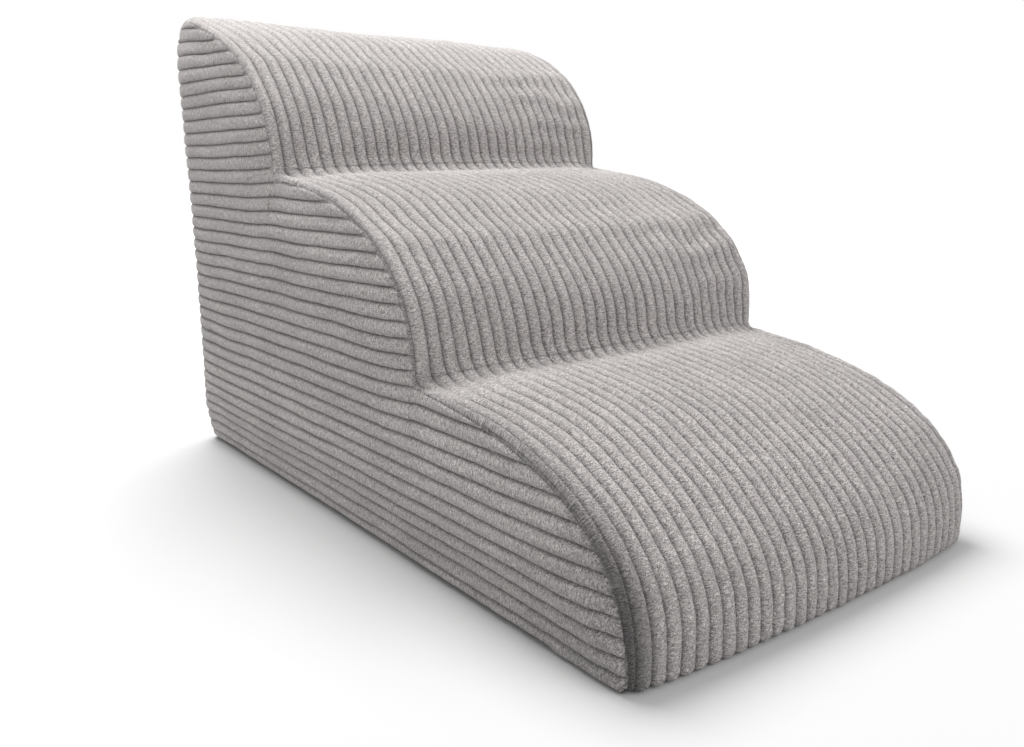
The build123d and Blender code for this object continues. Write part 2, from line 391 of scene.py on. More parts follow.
def meshValue(tree, name, output="Fac"):
    return addNode(tree, "ShaderNodeAttribute", (-900, 0), attribute_name=name).outputs[output]


def newGroup(name, inputs, outputs):
    # an input with no default is a vector, and a single number is a value
    group = bpy.data.node_groups.new(name, "ShaderNodeTree")
    for label, value in inputs.items():
        kind = "Vector" if value is None else "Float" if isinstance(value, float) else "Color"
        socket = group.interface.new_socket(label, in_out="INPUT", socket_type="NodeSocket" + kind)
        if value is not None:
            socket.default_value = value
    for label, kind in outputs.items():
        group.interface.new_socket(label, in_out="OUTPUT", socket_type="NodeSocket" + kind)
    return group, group.nodes.new("NodeGroupInput").outputs, group.nodes.new("NodeGroupOutput")


# Brushed pile: short streaks across each wale, painted shade darkening the grooves, painted light and shade from a
# mesh layer, slow changes of nap
pile = {
    "stretch": (930, 390, 1),
    "streaks": {"Scale": 1, "Detail": 2.5, "Roughness": 0.65, "Distortion": 0.8},
    "fuzz": {"Scale": 1350, "Detail": 1.5},
    "nap": {"Scale": 22, "Detail": 3},
    "grooveFade": 0.55,
    "crisp": (0.34, 0.66),
    "shares": (0.6, 0.4),  # of the streaks and of the fuzz
    "paintedLightGain": 0.25,
    # the groove colour is painted shade, a darker copy of the pale wale colour
    "look": {"Pale": (0.492, 0.461, 0.452, 1), "GrooveShade": (0.12, 0.111, 0.111, 1), "Streak": 1.2, "Nap": 0.25},
    "bump": 0.0011,
}


def makePileGroup():
    group, given, out = newGroup("brushedPile", {
        "Place": None, "Ridge": 1.0, "PaintedLightShade": 0.0, "Pale": (0.5, 0.5, 0.5, 1), "GrooveShade": (0.1, 0.1, 0.1, 1),
        "Streak": 0.3, "Nap": 0.1}, {"Colour": "Color", "Height": "Float"})
    stretched = addNode(group, "ShaderNodeVectorMath", (-600, 0), {0: given["Place"], 1: pile["stretch"]},
                        operation="MULTIPLY").outputs[0]
    streaks, fuzz, nap = (
        addNode(group, "ShaderNodeTexNoise", (-400, 0), {"Vector": place, **pile[kind]},
                noise_dimensions="2D").outputs["Fac"]
        for kind, place in (("streaks", stretched), ("fuzz", given["Place"]), ("nap", given["Place"])))
    # painted shade: the colour darkens from the pale wale colour towards the grooves, following the ridge layer
    edge = mathNode(group, "MINIMUM", mathNode(group, "POWER", given["Ridge"], pile["grooveFade"]), 1.0)
    shade = addNode(group, "ShaderNodeMix", (0, 200), {"Factor": edge, "A": given["GrooveShade"], "B": given["Pale"]},
                    data_type="RGBA")
    grain = mathNode(group, "ADD", *(mapRange(group, noise, pile["crisp"], (0, share), "SMOOTHSTEP")
                                     for noise, share in zip((streaks, fuzz), pile["shares"])))
    swing = mathNode(group, "MULTIPLY", mathNode(group, "SUBTRACT", grain, 0.5), given["Streak"])
    slow = mathNode(group, "MULTIPLY", mathNode(group, "SUBTRACT", nap, 0.5), given["Nap"])
    varied = mathNode(group, "ADD", mathNode(group, "ADD", swing, slow), 1.0)
    # painted light and shade: a mesh layer brightens or darkens the colour
    bright = mathNode(group, "MULTIPLY_ADD", given["PaintedLightShade"], pile["paintedLightGain"], 1.0)
    tint = addNode(group, "ShaderNodeVectorMath", (400, 100), {
        0: shade.outputs["Result"], "Scale": mathNode(group, "MULTIPLY", varied, bright)}, operation="SCALE")
    feed(group, out, {"Colour": tint.outputs[0], "Height": grain})
    return group


def newMaterial(name, **values):
    material = bpy.data.materials.new(name)
    material.use_nodes = True
    tree = material.node_tree
    shader = tree.nodes["Principled BSDF"]
    feed(tree, shader, values)
    return material, tree, shader


def finishShader(tree, shader, colour, height, distance):
    bump = addNode(tree, "ShaderNodeBump", (-200, -300), {"Distance": distance, "Strength": 1.0, "Height": height})
    feed(tree, shader, {"Base Color": colour, "Normal": bump.outputs[0]})


def makeCorduroy():
    material, tree, shader = newMaterial("greyCorduroy", **{
        "Roughness": 0.95, "Specular IOR Level": 0.15, "Sheen Weight": 0.35,
        "Sheen Roughness": 0.5, "Sheen Tint": (0.9, 0.88, 0.87, 1)})
    brushed = addNode(tree, "ShaderNodeGroup", (-500, 0), {
        "Place": meshValue(tree, "cloth", "Vector"), "Ridge": meshValue(tree, "ridge"),
        "PaintedLightShade": meshValue(tree, "paintedLightAndShade"), **pile["look"]}, node_tree=makePileGroup()).outputs
    finishShader(tree, shader, brushed["Colour"], brushed["Height"], pile["bump"])
    return material


corduroyMaterial = makeCorduroy()

# Strip of corduroy over the steps, its wales running front to back
strip = {
    "rows": 300,
    "turning": 0.35, "tightGap": 0.0011, "flatGap": 0.0036,  # spacing of the rows
    "relief": 1.2,
    "roundness": 2.2,
    "cornerShade": 3.8,  # painted shade down the front left edge
    "toeSeamShift": 0.0028,  # the seam creeps in on the front face
    "seamGap": 0.0011,  # seam in from the outer side
    "edgeRoll": 0.0034,
    "tuck": 0.0022,  # seam allowance that dips out of sight
    "firstWale": (0.014, 0.003),  # width of the cut first wale at the toe and at the top
    "quietTread": 0.2,  # how much the pile lies down next to a riser
    "nose": 0.104,  # from the foot of a riser to the crease of its nose
    "crease": (0.0005, 0.0017, 0.0013),
    "pucker": 0.0010,  # ripples where the cover is gathered at the right
    "puckerPitch": 0.031,
    "bridge": 0.018,  # radius the cover keeps as it crosses an inner corner
}


def bridging(off):
    # how far the cover stands off an inner corner, off along the strip from its middle
    r, wide = stairs["foldRadius"], strip["bridge"]
    apart = (wide - r) * math.sqrt(2)
    turn = np.minimum(off / r, math.pi / 4)
    inner = r + apart * np.cos(turn) - np.sqrt(wide ** 2 - (apart * np.sin(turn)) ** 2)
    level = np.clip(off - math.pi / 4 * r + r, r, wide)
    return np.where(off < math.pi / 4 * r, inner, wide - np.sqrt(wide ** 2 - (wide - level) ** 2))


def unevenRows(count, flatGap):
    # places along the strip, closer together where it bends
    weight = 1 / np.clip(strip["turning"] / np.maximum(stairTurn, 1), strip["tightGap"], flatGap)
    total = np.r_[0, np.cumsum((weight[1:] + weight[:-1]) / 2 * np.diff(stairAlong))]
    return np.interp(np.linspace(0, total[-1], count), total, stairAlong)


def makeStrip():
    along = unevenRows(strip["rows"], strip["flatGap"])
    rearY = atAlong(along, stairPoints[:, 0])
    corner = stairs["cornerRadius"]
    lowFront = smooth(1 - along / 0.2)
    reach = corner - strip["seamGap"] - strip["toeSeamShift"] * lowFront
    bulge = circleAt(reach, np.maximum(rearY - halfDepth + corner, 0))
    edge = (halfWidth - corner + bulge)[:, None]
    shift = np.interp(along, [0, stripLength], strip["firstWale"])[:, None]
    fixed = waleColumns(-2 * halfWidth - 0.02, 0.02)[None, :]
    s = np.repeat(along[:, None], fixed.shape[1], 1)
    free = fixed + halfWidth + shift + wander(s, fixed + 0 * s, 7)
    x = np.clip(free, -edge, edge)
    across = fixed + x - free
    height, place, relief = clothSurface(s, across, strip["roundness"], 11)
    margin = np.minimum(edge - np.abs(x), np.minimum(s, stripLength - s) * 1.3)
    roll = strip["edgeRoll"]
    drop = roll - circleAt(roll, roll - np.minimum(margin, roll))
    near = smooth(margin / 0.002)
    y, z = atAlong(s, stairPoints[:, 0]), atAlong(s, stairPoints[:, 1])
    # painted light on the treads just ahead of each riser and along the top, where the relief is also calmed
    paintedLightAndShade = np.zeros_like(s)
    for atFold in foldPlaces:
        ahead = atFold - s + 0.0015 * patches(x / corduroy["pitch"], s * 0, 61)
        paintedLightAndShade = np.maximum(paintedLightAndShade, smooth((ahead - 0.001) / 0.02) * (1 - smooth((ahead - 0.014) / 0.05)))
    paintedLightAndShade = np.maximum(paintedLightAndShade, 0.8 * (1 - smooth((stripLength - s - 0.05) / 0.13)))
    calm = 1 - (1 - strip["quietTread"]) * paintedLightAndShade
    relief = relief * strip["relief"] * (0.25 + 0.75 * near) * calm
    slow = corduroy["sag"] * patches(s / 0.11, x / 0.09, 21) * smooth(margin / 0.03)
    middle = 1 - np.abs(x / halfWidth) ** 3
    folded = np.min([np.abs(s - atFold) for atFold in foldPlaces], axis=0)
    slow += bridging(folded) * smooth(margin / 0.03)
    between = [0, *foldPlaces, stripLength]
    for (left, right), crease, start, end in zip(puff["step"], strip["crease"], between, between[1:]):
        inside = smooth((s - start) / 0.07) * smooth((end - s) / 0.12)
        slow += inside * (left + (right - left) * (0.5 + 0.5 * x / halfWidth))
        past = s - start - strip["nose"] - 0.004 * patches(x / 0.06, 0 * s + start * 9, 63)
        dent = np.exp(-(past / 0.011) ** 2) - 0.7 * np.exp(-((past - 0.026) / 0.014) ** 2)
        slow += crease * dent * smooth(margin / 0.02)
        onNose = smooth((s - start - 0.01) / 0.03) * smooth((start + 0.135 - s) / 0.04)
        gathered = onNose * smooth((x / halfWidth - 0.1) / 0.7)
        ripple = np.sin(2 * math.pi * (s - start) / strip["puckerPitch"] + 2.6 * patches(x / 0.03, s / 0.06, 64))
        slow += strip["pucker"] * (start > 0) * gathered * ripple * smooth(margin / 0.01)
    fuzz = np.random.default_rng(71).uniform(-1, 1, s.shape) * corduroy["fuzz"]
    out = -corduroy["relief"] * calm + relief - drop + slow + fuzz
    ty, tz = atAlong(s, stairTangent[:, 0]), atAlong(s, stairTangent[:, 1])
    size = np.hypot(ty, tz)
    # mask for the painted groove shade, darker where the cloth rolls into the seams and paler under the painted tread
    # light
    ridge = np.maximum(height, 0.9 * paintedLightAndShade) * (0.3 + 0.7 * near)
    # painted shade low down the front left edge
    shaded = smooth(1 - (x + halfWidth) / 0.034) ** 1.3 * smooth(1 - z / 0.17)
    paintedLightAndShade = paintedLightAndShade - strip["cornerShade"] * shaded
    # a tucked row or column all round, inside the seams
    x, y, z, ty, tz, out, s, across, ridge, paintedLightAndShade = (np.pad(grid, 1, mode="edge") for grid in (
        x, y, z, ty / size, tz / size, out, s, across, ridge, paintedLightAndShade))
    rim = np.zeros_like(out)
    rim[0], rim[-1], rim[:, 0], rim[:, -1] = (strip["tuck"],) * 4
    out = out - rim
    points = stuffed(packed(x, y - tz * out, z + ty * out))
    first, faces = weld(points, gridFaces(*s.shape)[:, ::-1])
    sheetPlace = packed(s / 1.06, (x + halfWidth) / 1.06)[first]
    piece = buildPiece("stepPanelCloth", points[first], faces, corduroyMaterial, "step_panel",
                       {"cloth": packed(s, across, np.zeros_like(s))[first], "ridge": ridge.reshape(-1)[first],
                        "paintedLightAndShade": paintedLightAndShade.reshape(-1)[first]}, lambda corner, mesh: sheetPlace[corner])


makeStrip()

# Sides and back, one length of corduroy with its wales level
wall = {
    "roundness": 3.6,
    "seamReach": 0.02,  # how far from a seam the cloth feels it
    # painted shade at the front of the left side, low down
    "cornerShade": 1.0,
    "paintedLightLow": 0.9,  # painted light, paler near the floor towards the back
    "sideGap": 0.0064,
    "relief": (1.25, 0.85),  # on the sides, and round the back corners
    "backColumns": 46,
    "cornerColumns": 10,
    "seamDrop": 0.0026,  # seam below the stair line
    "lip": 0.0022,
    "lipDepth": 0.002,
    "tucks": ((0.0006, 0.0034), (0.0018, 0.0046)),
    "pull": (0.0016, 0.0028),  # wales drawn up under each inner corner
    "hem": 0.0012,
    "hemRoll": (0.0028, 0.015),  # how far up the wall curls under, at the front and along the zipper
    "zipHem": 0.0032,
    "zipFront": 0.0560,
}


def wallRuns():
    # straight side, bend and back of the wall's plan, and its whole length
    r = stairs["cornerRadius"]
    straight, bend, back = 2 * halfDepth - r, math.pi / 2 * r, 2 * (halfWidth - r)
    return straight, bend, back, 2 * straight + 2 * bend + back


def wallPlan(p):
    # plan position and outward normal at p, measured from the front of the left side
    r = stairs["cornerRadius"]
    straight, bend, _, total = wallRuns()
    mirrored = p > total / 2
    q = np.where(mirrored, total - p, p)
    turn = np.clip((q - straight) / r, 0, math.pi / 2)
    x = np.where(q < straight, -halfWidth, -halfWidth + r - r * np.cos(turn) + np.maximum(q - straight - bend, 0))
    y = np.where(q < straight, q - halfDepth, halfDepth - r + r * np.sin(turn))
    nx, ny = -np.cos(turn), np.sin(turn)
    side = np.where(mirrored, -1, 1)
    return x * side, y, nx * side, ny, turn


def makeWall():
    r, brow, toe = stairs["cornerRadius"], stairs["browRadius"], stairs["toeRadius"]
    straight, bend, back, total = wallRuns()
    # the side's upper edge runs a little below the stair line, under the strip's rolled edge
    edgeLine, _ = evenly(stairPoints + stairInward * wall["seamDrop"], 0.0005)
    foot = toe - wall["seamDrop"]
    upper = edgeLine[:, 1] > stairs["hemLift"] + toe
    topLine = edgeLine[upper]
    coarse, _ = evenly(topLine[topLine[:, 0] < halfDepth - r - 0.002], wall["sideGap"])
    frontY = topLine[0, 0]
    sideY = np.unique(np.round(np.r_[coarse[:, 0], frontY + foot * np.array([0.01, 0.06, 0.16, 0.32, 0.55, 0.8, 1.0]),
                                     [halfDepth - r]], 6))
    sideP = sideY + halfDepth
    cornerP = straight + np.linspace(0, bend, wall["cornerColumns"] + 1)[1:]
    backP = straight + bend + np.linspace(0, back, wall["backColumns"] + 1)[1:-1]
    half = np.r_[sideP, cornerP]
    p = np.r_[half, backP, (total - half)[::-1]]
    _, y, _, _, turn = wallPlan(p)
    isSide = turn < 1e-9
    topSide = np.interp(y, topLine[:, 0], topLine[:, 1])
    innerY = halfDepth - r + (r - stairs["seamInset"]) * np.sin(turn)
    topRear = topHeight - brow + circleAt(brow, innerY - halfDepth + brow)
    topRear = topRear - wall["seamDrop"] * np.cos(turn) - 0.0006 * np.sin(turn)
    top = np.where(isSide, topSide, topRear)
    under = np.maximum(foot - (y + halfDepth - wall["seamDrop"]), 0)
    toeRise = foot - circleAt(foot, under) + wall["seamDrop"] * (under > 0)
    hem = wall["hem"] + (wall["zipHem"] - wall["hem"]) * smooth((y + halfDepth - wall["zipFront"]) / 0.006)
    low = np.minimum(np.maximum(hem, stairs["hemLift"] + toeRise), top - 0.0002)
    levels = waleColumns(0.0, topHeight)
    run = np.repeat(p[:, None], len(levels), 1)
    level = np.repeat(levels[None, :], len(p), 0)
    sideRun = np.minimum(run, total - run)
    # wales pulled up towards each inner corner
    pull = np.zeros_like(run)
    for step, size in zip(range(1, stepCount), wall["pull"]):
        aside = (sideRun - step * stepRun + 0.004) / 0.024
        below = np.maximum(step * stepRise - level, 0)
        pull += size * np.exp(-aside ** 2) * np.exp(-below / 0.045)
    free = level + wander(run, level, 37) + pull
    tall = np.clip(free, low[:, None], top[:, None])
    across = level + tall - free
    rearEdge = np.column_stack([p, top])[(~isSide) & (p < total / 2 + 0.01)]
    seam, _ = evenly(np.vstack([edgeLine[edgeLine[:, 0] < halfDepth - r] + (halfDepth, 0), rearEdge]), 0.0008)
    near = np.full(run.shape, wall["seamReach"])
    for i in range(len(p)):
        here = seam[np.abs(seam[:, 0] - sideRun[i, 0]) < wall["seamReach"]]
        gap = np.hypot(here[None, :, 0] - sideRun[i, 0], here[None, :, 1] - tall[i][:, None]).min(1)
        near[i] = np.minimum(gap, wall["seamReach"])
    near = np.where(tall >= top[:, None] - 1e-7, 0, near)
    toHem = tall - low[:, None]
    height, _, relief = clothSurface(run, across, wall["roundness"], 31)
    cornerNear = smooth(1 - np.abs(sideRun - straight - bend / 2) / 0.05)
    strength = wall["relief"][0] + (wall["relief"][1] - wall["relief"][0]) * cornerNear
    relief = relief * strength
    fade = smooth(near / 0.002) * smooth((toHem + 0.0008) / 0.002)
    lowFront = smooth(1 - sideRun / 0.02) * smooth(1 - level / 0.16)
    lip = wall["lip"] * (1 + 0.6 * lowFront)
    lipDepth = wall["lipDepth"] + strip["toeSeamShift"] * lowFront
    seamBend = lipDepth * (1 - circleAt(1, np.clip(1 - near / lip, 0, 1)))
    hemRoll = np.interp(sideRun, (0.1, 0.36), wall["hemRoll"])
    hemBend = hemRoll * 0.27 * (1 - circleAt(1, np.clip(1 - toHem / hemRoll, 0, 0.92)))
    slow = corduroy["sag"] * patches(run / 0.12, tall / 0.1, 41) * smooth(near / 0.02) * smooth(toHem / 0.02)
    flatter = 1 - 0.6 * smooth((run - total + straight) / 0.06)  # the right side
    inside = smooth(near / 0.02) * smooth((toHem + 0.004) / 0.05) * smooth((top[:, None] - tall + 0.004) / 0.05)
    swell = puff["side"] * flatter * inside
    fuzz = np.random.default_rng(72).uniform(-1, 1, run.shape) * corduroy["fuzz"] * fade * (1 - 0.6 * cornerNear)
    raised = relief * (0.3 + 0.7 * fade)
    depth = corduroy["relief"] * strength - raised + seamBend + hemBend - slow - swell - fuzz
    # mask for the painted groove shade, darker towards the seams and the hem
    ridge = height * (0.25 + 0.75 * fade)
    # painted shade at the front of the left side, painted light low down towards the back
    shaded = smooth(1 - run / 0.13) * smooth(1 - tall / 0.2)
    paled = smooth(1 - tall / 0.15) * smooth((sideRun - 0.12) / 0.3)
    paintedLightAndShade = wall["paintedLightLow"] * paled - wall["cornerShade"] * shaded
    # tucked rows inside the upper seam and behind the hem
    tangent = np.interp(y, topLine[:, 0], np.gradient(topLine[:, 1], topLine[:, 0]))
    slope = np.where(isSide, np.arctan(tangent), 0.0)
    mirrored = np.where(p > total / 2, -1, 1)
    tucked = [(p + mirrored * np.sin(slope) * down, top - np.cos(slope) * down, deep + 0 * p)
              for down, deep in wall["tucks"]]
    rolled = (p, low + 0.0003, 0.0046 + 0 * p)
    run, tall, depth = (np.column_stack([start, grid, *ends])
                        for start, grid, *ends in zip(rolled, (run, tall, depth), *tucked))
    more = ((0, 0), (1, len(tucked)))
    across, paintedLightAndShade = (np.pad(grid, more, mode="edge") for grid in (across, paintedLightAndShade))
    # the tucked rows take the painted groove shade
    ridge = np.pad(ridge, more, constant_values=0.1)
    planX, planY, faceX, faceY, bent = wallPlan(run)
    reachY = halfDepth - brow + circleAt(brow, np.maximum(tall - topHeight + brow, 0))
    allowed = np.where(bent > 1e-6, (reachY - halfDepth + r) / np.maximum(np.sin(bent), 1e-6), r)
    curled = np.clip(r - allowed, 0, None)
    depth = depth + (np.maximum(depth, curled + depth * 0.4) - depth) * smooth(curled / 0.006)
    points = stuffed(packed(planX - faceX * depth, planY - faceY * depth, tall))
    first, faces = weld(points, gridFaces(*run.shape))
    cloth = packed(run, across, np.zeros_like(run))[first]
    flat = packed(run, tall)[first]

    def wallUv(corner, mesh):
        counts = np.empty(len(mesh.polygons), int)
        mesh.polygons.foreach_get("loop_total", counts)
        owner = np.repeat(np.arange(len(counts)), counts)
        at = flat[corner]
        middle = np.bincount(owner, at[:, 0]) / counts
        region = np.digitize(middle, [straight + bend / 2, total - straight - bend / 2])[owner]
        u = np.select([region == 0, region == 1], [at[:, 0], at[:, 0] - straight + 0.005], total - at[:, 0])
        u = np.where(region == 1, u + 0.625, u)
        v = np.where(region == 2, at[:, 1] + 0.42, at[:, 1])
        return np.column_stack([u + 0.002, v + 0.002]) / 1.02

    piece = buildPiece("wrapPanelCloth", points[first], faces, corduroyMaterial, "wrap_panel",
                       {"cloth": cloth, "ridge": ridge.reshape(-1)[first], "paintedLightAndShade": paintedLightAndShade.reshape(-1)[first]}, wallUv)


makeWall()

# Weave and wear, shared by the smaller fabrics and hard parts
def makeWeaveGroup():
    # over-and-under threads, as a shade and a height: the shade is painted, lighter on the crowns and darker between
    # threads, with uneven slub
    group, given, out = newGroup("overUnderWeave", {"Place": None, "Threads": 1000.0, "Slub": 0.3},
                                 {"Shade": "Float", "Height": "Float"})
    counted = addNode(group, "ShaderNodeVectorMath", (-800, 0), {0: given["Place"], "Scale": given["Threads"]},
                      operation="SCALE").outputs[0]
    split = addNode(group, "ShaderNodeSeparateXYZ", (-600, 0), {0: counted}).outputs
    rounds = [mathNode(group, "ABSOLUTE", mathNode(group, "SINE", mathNode(group, "MULTIPLY", split[axis], math.pi)))
              for axis in "XY"]
    cells = mathNode(group, "ADD", *(mathNode(group, "FLOOR", split[axis]) for axis in "XY"))
    onTop = mathNode(group, "MULTIPLY", mathNode(group, "FRACT", mathNode(group, "MULTIPLY", cells, 0.5)), 2.0)
    height = addNode(group, "ShaderNodeMix", (0, 0), {"Factor": onTop, "A": rounds[0], "B": rounds[1]})
    slub = addNode(group, "ShaderNodeTexNoise", (-400, -300), {"Scale": 0.35, "Vector": counted}).outputs["Fac"]
    uneven = mathNode(group, "MULTIPLY", mathNode(group, "SUBTRACT", slub, 0.5), given["Slub"])
    lit = mathNode(group, "MULTIPLY_ADD", height.outputs["Result"], 0.55, 0.45)
    feed(group, out, {"Shade": mathNode(group, "ADD", lit, uneven), "Height": height.outputs["Result"]})
    return group


def makeScuffGroup():
    # handling marks: a slow stain and fine scratches, as masks from 0 to 1
    group, given, out = newGroup("handlingScuffs", {"Scale": 300.0}, {"Stain": "Float", "Scratch": "Float"})
    place = addNode(group, "ShaderNodeTexCoord", (-800, 0)).outputs["Object"]
    for label, detail, factor, stretch in (("Stain", 4, 1.0, (1, 1, 1)), ("Scratch", 2, 5.0, (1, 0.12, 1))):
        spread = addNode(group, "ShaderNodeVectorMath", (-600, 0), {0: place, 1: stretch}, operation="MULTIPLY")
        noise = addNode(group, "ShaderNodeTexNoise", (-400, 0), {
            "Detail": detail, "Vector": spread.outputs[0],
            "Scale": mathNode(group, "MULTIPLY", given["Scale"], factor)}).outputs["Fac"]
        feed(group, out, {label: mapRange(group, noise, (0.35, 0.65))})
    return group


weaveGroup = makeWeaveGroup()
scuffGroup = makeScuffGroup()


def blendColours(tree, factor, low, high):
    return addNode(tree, "ShaderNodeMix", (-300, 100), {"Factor": factor, "A": (*low, 1), "B": (*high, 1)},
                   data_type="RGBA").outputs["Result"]


def makeWoven(name, low, high, threads, slub, depth, **values):
    material, tree, shader = newMaterial(name, **{"Specular IOR Level": 0.3, **values})
    weave = addNode(tree, "ShaderNodeGroup", (-600, 0), {
        "Threads": threads, "Slub": slub, "Place": meshValue(tree, "cloth", "Vector")}, node_tree=weaveGroup).outputs
    finishShader(tree, shader, blendColours(tree, weave["Shade"], low, high), weave["Height"], depth)
    return material


def makeHard(name, low, high, scale, roughness, **values):
    material, tree, shader = newMaterial(name, **values)
    scuffs = addNode(tree, "ShaderNodeGroup", (-600, 0), {"Scale": scale}, node_tree=scuffGroup).outputs
    feed(tree, shader, {"Roughness": mapRange(tree, scuffs["Scratch"], wanted=roughness)})
    finishShader(tree, shader, blendColours(tree, scuffs["Stain"], low, high), scuffs["Scratch"], 0.00003)
    return material


def sweep(sections):
    # faces of a closed tube through rows of ring points, with both ends capped
    rows, ring = sections.shape[:2]
    n = np.arange(rows * ring).reshape(rows, ring)
    nextOne = np.roll(n, -1, axis=1)
    faces = np.stack([n[:-1], n[1:], nextOne[1:], nextOne[:-1]], -1).reshape(-1, 4).tolist()
    return sections.reshape(-1, 3), faces + [n[0].tolist(), n[-1][::-1].tolist()]


# Base panel of grip fabric, with the edge that meets the zipper turned up
base = {
    "under": 0.0005, "over": 0.0024, "rimTop": 0.0051, "rimWide": 0.003,
    "frontEdge": 0.0089, "frontInset": 0.0033, "zipInset": 0.016, "corner": 0.023,
    "dotPitch": 0.010, "dotRadius": 0.0016,
}
# Zipper, round the sides and back between the wall and the base
zipper = {
    "inset": 0.009, "corner": 0.030, "level": 0.0054, "front": 0.056,
    "outerTape": (0.0033, 0.0063), "innerTape": (0.0118, 0.021), "tapeHalf": 0.0003,
    "tapeCut": 0.011,  # each tape as woven, with what the coil and the hem cover
    "coilOffset": 0.00175, "coilWide": 0.00073, "coilTall": 0.00098, "wire": 0.00032,
    "coilPitch": 0.0016, "coilStart": 0.0614,
}


def basePlan(y):
    # half-width of the base panel at y
    wide = np.where(y < zipper["front"] - halfDepth, halfWidth - base["frontInset"], halfWidth - base["zipInset"])
    into = np.clip(y - (halfDepth - base["zipInset"] - base["corner"]), 0, base["corner"])
    return wide - base["corner"] + circleAt(base["corner"], into)


def onlyOutward(points):
    # the swelling without the forward puff, for the pieces of the zipper
    moved = stuffed(points)
    moved[:, 1] = points[:, 1]
    return moved


def makeBase():
    front, notch, rear = base["frontEdge"] - halfDepth, zipper["front"] - halfDepth, halfDepth - base["zipInset"]
    edge = np.array([0, 0.0007, 0.0022, 0.003, 0.0036, 0.005])
    y = np.r_[front + edge[:4], np.arange(front + 0.008, notch - 0.002, 0.006), notch - 0.00001, notch + 0.00001,
              np.arange(notch + 0.005, rear - 0.03, 0.007),
              rear - 0.028 * (1 - np.sin(np.linspace(0, math.pi / 2, 14)))]
    wide = basePlan(np.minimum(y, rear - 1e-5))
    inner = (wide[:, None] - 0.008) * (-1 + np.arange(1, 60) / 30)[None, :]
    left = -(wide[:, None] - edge[None, :])
    x = np.hstack([left, inner, -left[:, ::-1]])
    rowY = np.repeat(y[:, None], x.shape[1], 1)
    margin = np.minimum(wide[:, None] - np.abs(x), np.maximum(rear - rowY, 0))
    behind = smooth((rowY - notch + 0.001) / 0.002)
    rim = behind * smooth((base["rimWide"] + 0.0006 - margin) / 0.0007)
    wave = 0.0002 * patches(x / 0.05, rowY / 0.05, 81) * (1 - rim)
    over = base["over"] + (base["rimTop"] - base["over"]) * rim
    over = over + wave - 0.0004 * (1 - rim) * smooth(1 - margin / 0.0012)
    under = base["under"] + 0.0009 * smooth(1 - margin / 0.0035) + 0.5 * wave
    points = np.vstack([packed(x, rowY, under), packed(x, rowY, over)])
    rows, cols = x.shape
    flat = gridFaces(rows, cols)
    n = np.arange(rows * cols).reshape(rows, cols)
    loop = np.r_[n[0, :-1], n[:-1, -1], n[-1, :0:-1], n[:0:-1, 0]]
    after = np.roll(loop, -1)
    border = np.stack([loop, after, after + rows * cols, loop + rows * cols], -1)
    faces = np.vstack([flat[:, ::-1], flat + rows * cols, border]).tolist()
    material = makeWoven("gripFabric", (0.018, 0.018, 0.02), (0.075, 0.075, 0.08), 1300, 0.5, 0.0002, Roughness=0.85)
    piece = buildPiece("basePanelCloth", stuffed(points), faces, material, "base_panel",
                       {"cloth": points * (1, 1, 0)})
    dots = makeGripDots(front, rear)


def makeGripDots(front, rear):
    # soft domes under the base, in staggered rows
    pitch, radius = base["dotPitch"], base["dotRadius"]
    places = []
    for row, y in enumerate(np.arange(front + 0.009, rear - 0.005, pitch * 0.866)):
        reach = float(basePlan(np.array(y))) - 0.006
        if y < zipper["front"] - halfDepth + 0.006:
            reach = min(reach, halfWidth - 0.012)
        shift = pitch / 2 if row % 2 else 0
        xs = np.arange(-math.floor(reach / pitch) * pitch - shift, reach, pitch)
        places += [(x, y) for x in xs if abs(x) < reach]
    places = np.array(places)
    around = np.radians(np.arange(0, 360, 45))
    ring = np.column_stack([np.cos(around), np.sin(around)])
    levels = ((1.0, base["under"] + 0.00015), (0.82, 0.00016), (0.4, 0.00003))
    sizes = radius * (1 + 0.06 * np.random.default_rng(91).uniform(-1, 1, len(places)))
    dome = [np.concatenate([places[:, None, :] + ring[None] * share * sizes[:, None, None],
                            np.full((len(places), 8, 1), z)], -1) for share, z in levels]
    points = np.stack(dome, 1).reshape(-1, 3)
    faces = []
    for k in range(len(places)):
        n = np.arange(24).reshape(3, 8) + 24 * k
        for a, b in ((n[0], n[1]), (n[1], n[2])):
            faces += np.stack([a, b, np.roll(b, -1), np.roll(a, -1)], -1).tolist()
        faces.append(n[2].tolist()[::-1])
    material = makeHard("gripRubber", (0.03, 0.03, 0.032), (0.06, 0.06, 0.062), 250, (0.45, 0.65))
    return buildPiece("gripDots", stuffed(points), faces, material)


makeBase()


def zipperLine(inset, bend, start, straight=420, turn=40, back=240):
    # plan points a set way in from the wall: left side, back and right side, in matching numbers
    side, rear, zone = halfWidth - inset, halfDepth - inset, zipper["corner"] + zipper["inset"]
    ys = np.linspace(start - halfDepth, halfDepth - zone, straight)
    leftSide = np.column_stack([np.full(straight, -side), ys])
    bent = arcPoints((-side + bend, rear - bend), bend, 180, 90, 60)
    corner = np.vstack([leftSide[-1:], bent, [(zone - halfWidth, rear)]])
    long = distances(corner)
    at = np.linspace(0, long[-1], turn)
    corner = np.column_stack([np.interp(at, long, corner[:, 0]), np.interp(at, long, corner[:, 1])])
    across = np.column_stack([np.linspace(zone - halfWidth, 0, back), np.full(back, rear)])
    half = np.vstack([leftSide, corner[1:], across[1:]])
    return np.vstack([half, half[-2::-1] * (-1, 1)])


def chainBend(inset):
    return zipper["corner"] + zipper["inset"] - inset


